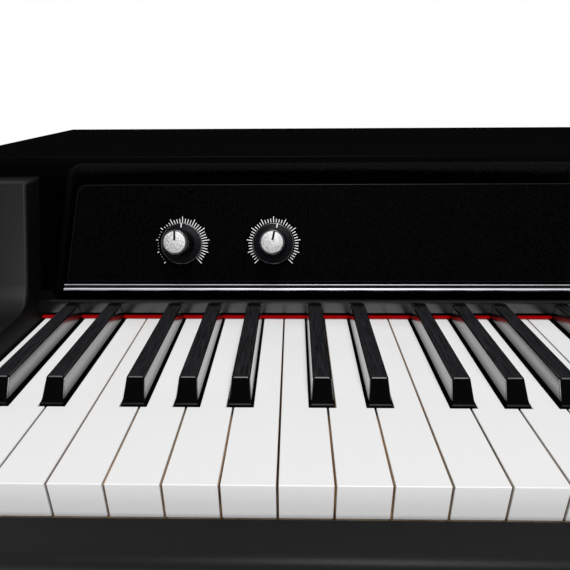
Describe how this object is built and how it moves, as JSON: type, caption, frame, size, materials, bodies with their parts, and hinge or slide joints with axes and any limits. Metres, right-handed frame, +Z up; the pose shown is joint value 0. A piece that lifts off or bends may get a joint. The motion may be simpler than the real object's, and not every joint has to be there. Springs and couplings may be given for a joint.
{
  "type": "electric piano",
  "caption": "Compact three-octave electric piano with wooden sprung keys, plucked reeds, volume and tone knobs on a leaning black panel, red felt and a hinged lid.",
  "frame": {"origin": "under the middle of the instrument, on the plane that its rubber skids stand on", "axes": "+X to the right along the keyboard, +Y from the player to the back, +Z up"},
  "size_m": [0.656, 0.435, 0.1725],
  "materials": {
    "white_key": "moulded key cover, on a wooden stick",
    "black_key": "satin moulded sharp, on a wooden stick",
    "case_black": "smooth satin black lacquer",
    "bare_wood": "bare planed softwood",
    "board_gloss": "polished black",
    "red_felt": "pressed wool felt",
    "textured_vinyl": "grained black cover",
    "panel_black": "fine matt black",
    "silver_metal": "satin",
    "knob_black": "moulded",
    "circuit_board": "paper laminate",
    "reed_steel": "ground steel",
    "pickup_board": "brown laminate",
    "hinge_steel": "plain",
    "jack_metal": "nickel plated",
    "foot_rubber": "matt"
  },
  "bodies": {
    "case": {"bottom_board": "case_black", "foot_front": "foot_rubber", "foot_back": "foot_rubber", "left_end": "case_black", "right_end": "case_black", "back_panel": "case_black", "key_slip": "case_black", "key_frame": "bare_wood", "reed_rail": "reed_steel", "pickup_rail": "pickup_board", "name_board": "board_gloss", "name_felt": "red_felt", "control_housing": "textured_vinyl", "control_panel": "panel_black", "trim_strip": "silver_metal", "control_board": "circuit_board", "hinge_rod": "hinge_steel", "output_jack": "jack_metal"},
    "lid": {"lid": "case_black"},
    "volume_knob": {"volume_knob": "knob_black", "volume_cap": "silver_metal"},
    "tone_knob": {"tone_knob": "knob_black", "tone_cap": "silver_metal"},
    "key_c3": {"key_c3": "white_key"},
    "key_c3_sharp": {"key_c3_sharp": "black_key"},
    "key_d3": {"key_d3": "white_key"},
    "key_d3_sharp": {"key_d3_sharp": "black_key"},
    "key_e3": {"key_e3": "white_key"},
    "key_f3": {"key_f3": "white_key"},
    "key_f3_sharp": {"key_f3_sharp": "black_key"},
    "key_g3": {"key_g3": "white_key"},
    "key_g3_sharp": {"key_g3_sharp": "black_key"},
    "key_a3": {"key_a3": "white_key"},
    "key_a3_sharp": {"key_a3_sharp": "black_key"},
    "key_b3": {"key_b3": "white_key"},
    "key_c4": {"key_c4": "white_key"},
    "key_c4_sharp": {"key_c4_sharp": "black_key"},
    "key_d4": {"key_d4": "white_key"},
    "key_d4_sharp": {"key_d4_sharp": "black_key"},
    "key_e4": {"key_e4": "white_key"},
    "key_f4": {"key_f4": "white_key"},
    "key_f4_sharp": {"key_f4_sharp": "black_key"},
    "key_g4": {"key_g4": "white_key"},
    "key_g4_sharp": {"key_g4_sharp": "black_key"},
    "key_a4": {"key_a4": "white_key"},
    "key_a4_sharp": {"key_a4_sharp": "black_key"},
    "key_b4": {"key_b4": "white_key"},
    "key_c5": {"key_c5": "white_key"},
    "key_c5_sharp": {"key_c5_sharp": "black_key"},
    "key_d5": {"key_d5": "white_key"},
    "key_d5_sharp": {"key_d5_sharp": "black_key"},
    "key_e5": {"key_e5": "white_key"},
    "key_f5": {"key_f5": "white_key"},
    "key_f5_sharp": {"key_f5_sharp": "black_key"},
    "key_g5": {"key_g5": "white_key"},
    "key_g5_sharp": {"key_g5_sharp": "black_key"},
    "key_a5": {"key_a5": "white_key"},
    "key_a5_sharp": {"key_a5_sharp": "black_key"},
    "key_b5": {"key_b5": "white_key"},
    "key_c6": {"key_c6": "white_key"}
  },
  "joints": [
    {"name": "lid_hinge", "type": "hinge", "parent": "case", "child": "lid", "pos_m": [0, 0.213, 0.161], "axis": [-1, 0, 0], "range_deg": [0, 100]},
    {"name": "volume_turn", "type": "hinge", "parent": "case", "child": "volume_knob", "pos_m": [-0.1594, -0.04283, 0.12322], "axis": [0, -0.9379, 0.3469], "range_deg": [-136, 136]},
    {"name": "tone_turn", "type": "hinge", "parent": "case", "child": "tone_knob", "pos_m": [-0.1005, -0.04283, 0.12322], "axis": [0, -0.9379, 0.3469], "range_deg": [-124, 148]},
    {"name": "key_c3_press", "type": "hinge", "parent": "case", "child": "key_c3", "pos_m": [-0.25122, 0.0025, 0.046], "axis": [1, 0, 0], "range_deg": [0, 2.9], "stiffness_Nm_per_rad": 0.5, "springref_deg": -17.19},
    {"name": "key_c3_sharp_press", "type": "hinge", "parent": "case", "child": "key_c3_sharp", "pos_m": [-0.2376, 0.0145, 0.046], "axis": [1, 0, 0], "range_deg": [0, 2.9], "stiffness_Nm_per_rad": 0.5, "springref_deg": -17.19},
    {"name": "key_d3_press", "type": "hinge", "parent": "case", "child": "key_d3", "pos_m": [-0.22325, 0.0025, 0.046], "axis": [1, 0, 0], "range_deg": [0, 2.9], "stiffness_Nm_per_rad": 0.5, "springref_deg": -17.19},
    {"name": "key_d3_sharp_press", "type": "hinge", "parent": "case", "child": "key_d3_sharp", "pos_m": [-0.2089, 0.0145, 0.046], "axis": [1, 0, 0], "range_deg": [0, 2.9], "stiffness_Nm_per_rad": 0.5, "springref_deg": -17.19},
    {"name": "key_e3_press", "type": "hinge", "parent": "case", "child": "key_e3", "pos_m": [-0.19528, 0.0025, 0.046], "axis": [1, 0, 0], "range_deg": [0, 2.9], "stiffness_Nm_per_rad": 0.5, "springref_deg": -17.19},
    {"name": "key_f3_press", "type": "hinge", "parent": "case", "child": "key_f3", "pos_m": [-0.18108, 0.0025, 0.046], "axis": [1, 0, 0], "range_deg": [0, 2.9], "stiffness_Nm_per_rad": 0.5, "springref_deg": -17.19},
    {"name": "key_f3_sharp_press", "type": "hinge", "parent": "case", "child": "key_f3_sharp", "pos_m": [-0.1678, 0.0145, 0.046], "axis": [1, 0, 0], "range_deg": [0, 2.9], "stiffness_Nm_per_rad": 0.5, "springref_deg": -17.19},
    {"name": "key_g3_press", "type": "hinge", "parent": "case", "child": "key_g3", "pos_m": [-0.1544, 0.0025, 0.046], "axis": [1, 0, 0], "range_deg": [0, 2.9], "stiffness_Nm_per_rad": 0.5, "springref_deg": -17.19},
    {"name": "key_g3_sharp_press", "type": "hinge", "parent": "case", "child": "key_g3_sharp", "pos_m": [-0.141, 0.0145, 0.046], "axis": [1, 0, 0], "range_deg": [0, 2.9], "stiffness_Nm_per_rad": 0.5, "springref_deg": -17.19},
    {"name": "key_a3_press", "type": "hinge", "parent": "case", "child": "key_a3", "pos_m": [-0.1276, 0.0025, 0.046], "axis": [1, 0, 0], "range_deg": [0, 2.9], "stiffness_Nm_per_rad": 0.5, "springref_deg": -17.19},
    {"name": "key_a3_sharp_press", "type": "hinge", "parent": "case", "child": "key_a3_sharp", "pos_m": [-0.1142, 0.0145, 0.046], "axis": [1, 0, 0], "range_deg": [0, 2.9], "stiffness_Nm_per_rad": 0.5, "springref_deg": -17.19},
    {"name": "key_b3_press", "type": "hinge", "parent": "case", "child": "key_b3", "pos_m": [-0.10093, 0.0025, 0.046], "axis": [1, 0, 0], "range_deg": [0, 2.9], "stiffness_Nm_per_rad": 0.5, "springref_deg": -17.19},
    {"name": "key_c4_press", "type": "hinge", "parent": "case", "child": "key_c4", "pos_m": [-0.08672, 0.0025, 0.046], "axis": [1, 0, 0], "range_deg": [0, 2.9], "stiffness_Nm_per_rad": 0.5, "springref_deg": -17.19},
    {"name": "key_c4_sharp_press", "type": "hinge", "parent": "case", "child": "key_c4_sharp", "pos_m": [-0.0731, 0.0145, 0.046], "axis": [1, 0, 0], "range_deg": [0, 2.9], "stiffness_Nm_per_rad": 0.5, "springref_deg": -17.19},
    {"name": "key_d4_press", "type": "hinge", "parent": "case", "child": "key_d4", "pos_m": [-0.05875, 0.0025, 0.046], "axis": [1, 0, 0], "range_deg": [0, 2.9], "stiffness_Nm_per_rad": 0.5, "springref_deg": -17.19},
    {"name": "key_d4_sharp_press", "type": "hinge", "parent": "case", "child": "key_d4_sharp", "pos_m": [-0.0444, 0.0145, 0.046], "axis": [1, 0, 0], "range_deg": [0, 2.9], "stiffness_Nm_per_rad": 0.5, "springref_deg": -17.19},
    {"name": "key_e4_press", "type": "hinge", "parent": "case", "child": "key_e4", "pos_m": [-0.03078, 0.0025, 0.046], "axis": [1, 0, 0], "range_deg": [0, 2.9], "stiffness_Nm_per_rad": 0.5, "springref_deg": -17.19},
    {"name": "key_f4_press", "type": "hinge", "parent": "case", "child": "key_f4", "pos_m": [-0.01657, 0.0025, 0.046], "axis": [1, 0, 0], "range_deg": [0, 2.9], "stiffness_Nm_per_rad": 0.5, "springref_deg": -17.19},
    {"name": "key_f4_sharp_press", "type": "hinge", "parent": "case", "child": "key_f4_sharp", "pos_m": [-0.0033, 0.0145, 0.046], "axis": [1, 0, 0], "range_deg": [0, 2.9], "stiffness_Nm_per_rad": 0.5, "springref_deg": -17.19},
    {"name": "key_g4_press", "type": "hinge", "parent": "case", "child": "key_g4", "pos_m": [0.0101, 0.0025, 0.046], "axis": [1, 0, 0], "range_deg": [0, 2.9], "stiffness_Nm_per_rad": 0.5, "springref_deg": -17.19},
    {"name": "key_g4_sharp_press", "type": "hinge", "parent": "case", "child": "key_g4_sharp", "pos_m": [0.0235, 0.0145, 0.046], "axis": [1, 0, 0], "range_deg": [0, 2.9], "stiffness_Nm_per_rad": 0.5, "springref_deg": -17.19},
    {"name": "key_a4_press", "type": "hinge", "parent": "case", "child": "key_a4", "pos_m": [0.0369, 0.0025, 0.046], "axis": [1, 0, 0], "range_deg": [0, 2.9], "stiffness_Nm_per_rad": 0.5, "springref_deg": -17.19},
    {"name": "key_a4_sharp_press", "type": "hinge", "parent": "case", "child": "key_a4_sharp", "pos_m": [0.0503, 0.0145, 0.046], "axis": [1, 0, 0], "range_deg": [0, 2.9], "stiffness_Nm_per_rad": 0.5, "springref_deg": -17.19},
    {"name": "key_b4_press", "type": "hinge", "parent": "case", "child": "key_b4", "pos_m": [0.06358, 0.0025, 0.046], "axis": [1, 0, 0], "range_deg": [0, 2.9], "stiffness_Nm_per_rad": 0.5, "springref_deg": -17.19},
    {"name": "key_c5_press", "type": "hinge", "parent": "case", "child": "key_c5", "pos_m": [0.07777, 0.0025, 0.046], "axis": [1, 0, 0], "range_deg": [0, 2.9], "stiffness_Nm_per_rad": 0.5, "springref_deg": -17.19},
    {"name": "key_c5_sharp_press", "type": "hinge", "parent": "case", "child": "key_c5_sharp", "pos_m": [0.0914, 0.0145, 0.046], "axis": [1, 0, 0], "range_deg": [0, 2.9], "stiffness_Nm_per_rad": 0.5, "springref_deg": -17.19},
    {"name": "key_d5_press", "type": "hinge", "parent": "case", "child": "key_d5", "pos_m": [0.10575, 0.0025, 0.046], "axis": [1, 0, 0], "range_deg": [0, 2.9], "stiffness_Nm_per_rad": 0.5, "springref_deg": -17.19},
    {"name": "key_d5_sharp_press", "type": "hinge", "parent": "case", "child": "key_d5_sharp", "pos_m": [0.1201, 0.0145, 0.046], "axis": [1, 0, 0], "range_deg": [0, 2.9], "stiffness_Nm_per_rad": 0.5, "springref_deg": -17.19},
    {"name": "key_e5_press", "type": "hinge", "parent": "case", "child": "key_e5", "pos_m": [0.13373, 0.0025, 0.046], "axis": [1, 0, 0], "range_deg": [0, 2.9], "stiffness_Nm_per_rad": 0.5, "springref_deg": -17.19},
    {"name": "key_f5_press", "type": "hinge", "parent": "case", "child": "key_f5", "pos_m": [0.14793, 0.0025, 0.046], "axis": [1, 0, 0], "range_deg": [0, 2.9], "stiffness_Nm_per_rad": 0.5, "springref_deg": -17.19},
    {"name": "key_f5_sharp_press", "type": "hinge", "parent": "case", "child": "key_f5_sharp", "pos_m": [0.1612, 0.0145, 0.046], "axis": [1, 0, 0], "range_deg": [0, 2.9], "stiffness_Nm_per_rad": 0.5, "springref_deg": -17.19},
    {"name": "key_g5_press", "type": "hinge", "parent": "case", "child": "key_g5", "pos_m": [0.1746, 0.0025, 0.046], "axis": [1, 0, 0], "range_deg": [0, 2.9], "stiffness_Nm_per_rad": 0.5, "springref_deg": -17.19},
    {"name": "key_g5_sharp_press", "type": "hinge", "parent": "case", "child": "key_g5_sharp", "pos_m": [0.188, 0.0145, 0.046], "axis": [1, 0, 0], "range_deg": [0, 2.9], "stiffness_Nm_per_rad": 0.5, "springref_deg": -17.19},
    {"name": "key_a5_press", "type": "hinge", "parent": "case", "child": "key_a5", "pos_m": [0.2014, 0.0025, 0.046], "axis": [1, 0, 0], "range_deg": [0, 2.9], "stiffness_Nm_per_rad": 0.5, "springref_deg": -17.19},
    {"name": "key_a5_sharp_press", "type": "hinge", "parent": "case", "child": "key_a5_sharp", "pos_m": [0.2148, 0.0145, 0.046], "axis": [1, 0, 0], "range_deg": [0, 2.9], "stiffness_Nm_per_rad": 0.5, "springref_deg": -17.19},
    {"name": "key_b5_press", "type": "hinge", "parent": "case", "child": "key_b5", "pos_m": [0.22807, 0.0025, 0.046], "axis": [1, 0, 0], "range_deg": [0, 2.9], "stiffness_Nm_per_rad": 0.5, "springref_deg": -17.19},
    {"name": "key_c6_press", "type": "hinge", "parent": "case", "child": "key_c6", "pos_m": [0.24675, 0.0025, 0.046], "axis": [1, 0, 0], "range_deg": [0, 2.9], "stiffness_Nm_per_rad": 0.5, "springref_deg": -17.19}
  ]
}
